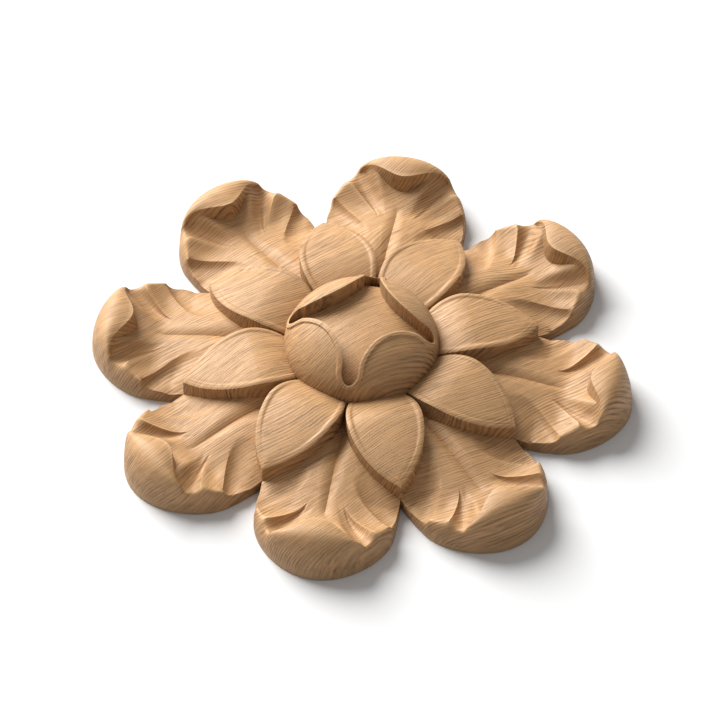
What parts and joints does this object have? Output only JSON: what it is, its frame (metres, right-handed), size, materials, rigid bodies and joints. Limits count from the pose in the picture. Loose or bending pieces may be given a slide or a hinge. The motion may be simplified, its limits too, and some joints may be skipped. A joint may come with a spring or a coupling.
{
  "type": "furniture rosette",
  "caption": "Round carved wooden rosette with a flat back, curled leafy outer petals, beaded inner petals and a domed bud, for fixing to furniture.",
  "frame": {"origin": "centre of the flat back face", "axes": "+Z out of the back towards the bud, +X along the middle of one outer petal"},
  "size_m": [0.12, 0.12, 0.0205],
  "materials": {
    "wood": "bare light tan hardwood, finely sanded"
  },
  "bodies": {
    "root": {"rosette": "wood"}
  },
  "joints": []
}
